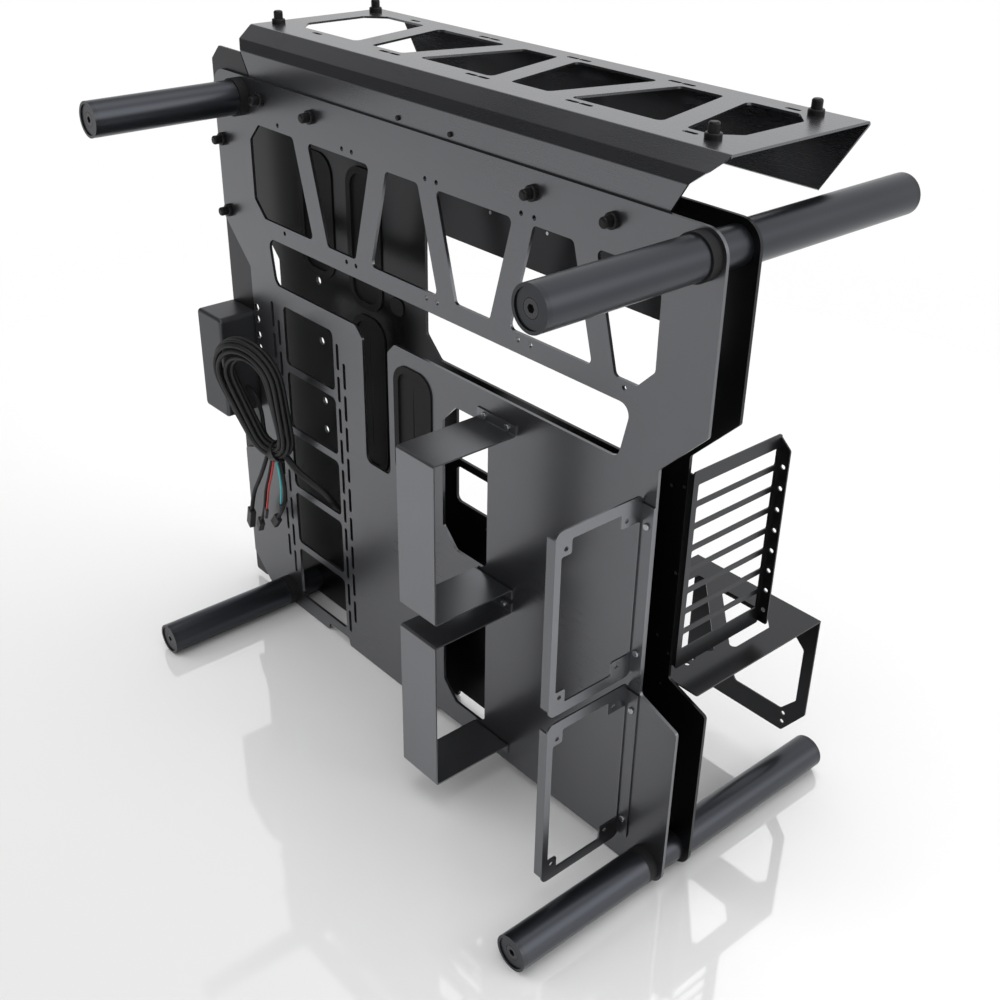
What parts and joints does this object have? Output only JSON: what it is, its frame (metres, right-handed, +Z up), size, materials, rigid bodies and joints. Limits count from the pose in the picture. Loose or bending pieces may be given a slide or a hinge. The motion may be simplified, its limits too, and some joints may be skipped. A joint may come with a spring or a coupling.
{
  "type": "open-frame computer case",
  "caption": "Open-frame computer case of two upright plates on round corner tubes, with a folded radiator shelf, power supply brackets, a slot grille and a side box with buttons.",
  "frame": {"origin": "centre of the footprint of the case's box, on the floor", "axes": "+X along the plates toward the slot grille, +Y from the front plate to the back plate, +Z up"},
  "size_m": [0.6736, 0.39, 0.649],
  "materials": {
    "black_sheet": "satin powder coat",
    "tube_alloy": "dark anodised, satin",
    "cap_alloy": "dark anodised, turned",
    "rubber": "matt",
    "steel": "zinc plated",
    "black_knob": "black oxide",
    "box_plastic": "fine texture",
    "button_plastic": "smooth",
    "board": "lacquered",
    "port_plastic": "moulded",
    "cable": "soft jacket",
    "plug_plastic": "moulded",
    "wire_red": "soft jacket",
    "wire_teal": "soft jacket"
  },
  "bodies": {
    "case": {"back_cap_foot_left": "cap_alloy", "back_cap_foot_right": "cap_alloy", "back_cap_top_left": "cap_alloy", "back_cap_top_right": "cap_alloy", "back_grommet_lower": "rubber", "back_grommet_upper": "rubber", "back_plate": "black_sheet", "back_tube_foot_left": "tube_alloy", "back_tube_foot_right": "tube_alloy", "back_tube_top_left": "tube_alloy", "back_tube_top_right": "tube_alloy", "board_standoffs": "steel", "box_lead": "cable", "box_screws": "steel", "button_switches": "port_plastic", "cable_hank": "cable", "card_shelf": "black_sheet", "corner_spacers": "tube_alloy", "data_lead": "cable", "data_plug": "plug_plastic", "front_cap_foot_left": "cap_alloy", "front_cap_foot_right": "cap_alloy", "front_cap_top_left": "cap_alloy", "front_cap_top_right": "cap_alloy", "front_grommet": "rubber", "front_plate": "black_sheet", "front_tube_foot_left": "tube_alloy", "front_tube_foot_right": "tube_alloy", "front_tube_top_left": "tube_alloy", "front_tube_top_right": "tube_alloy", "hank_tie": "plug_plastic", "header_lead": "cable", "header_plug": "plug_plastic", "io_board": "board", "io_box": "box_plastic", "lamp_lead": "wire_teal", "lamp_plug": "plug_plastic", "long_lead": "cable", "long_plug": "plug_plastic", "plate_thumbscrews": "black_knob", "port_block": "port_plastic", "psu_frame_lower": "black_sheet", "psu_frame_upper": "black_sheet", "psu_screws": "steel", "psu_strap_lower": "black_sheet", "psu_strap_upper": "black_sheet", "radiator_shelf": "black_sheet", "rear_screws": "steel", "shelf_rivets": "steel", "shelf_thumbscrews": "black_knob", "side_panel": "black_sheet", "slot_grille": "black_sheet", "sound_lead": "cable", "sound_plug": "plug_plastic", "switch_lead": "wire_red", "switch_plug": "plug_plastic", "tie_rods": "steel", "tube_collars": "rubber"},
    "power_button": {"power_button": "button_plastic"},
    "reset_button": {"reset_button": "button_plastic"}
  },
  "joints": [
    {"name": "power_press", "type": "slide", "parent": "case", "child": "power_button", "axis": [1, 0, 0], "range_m": [0, 0.0015], "stiffness_N_per_m": 600},
    {"name": "reset_press", "type": "slide", "parent": "case", "child": "reset_button", "axis": [1, 0, 0], "range_m": [0, 0.0015], "stiffness_N_per_m": 600}
  ]
}
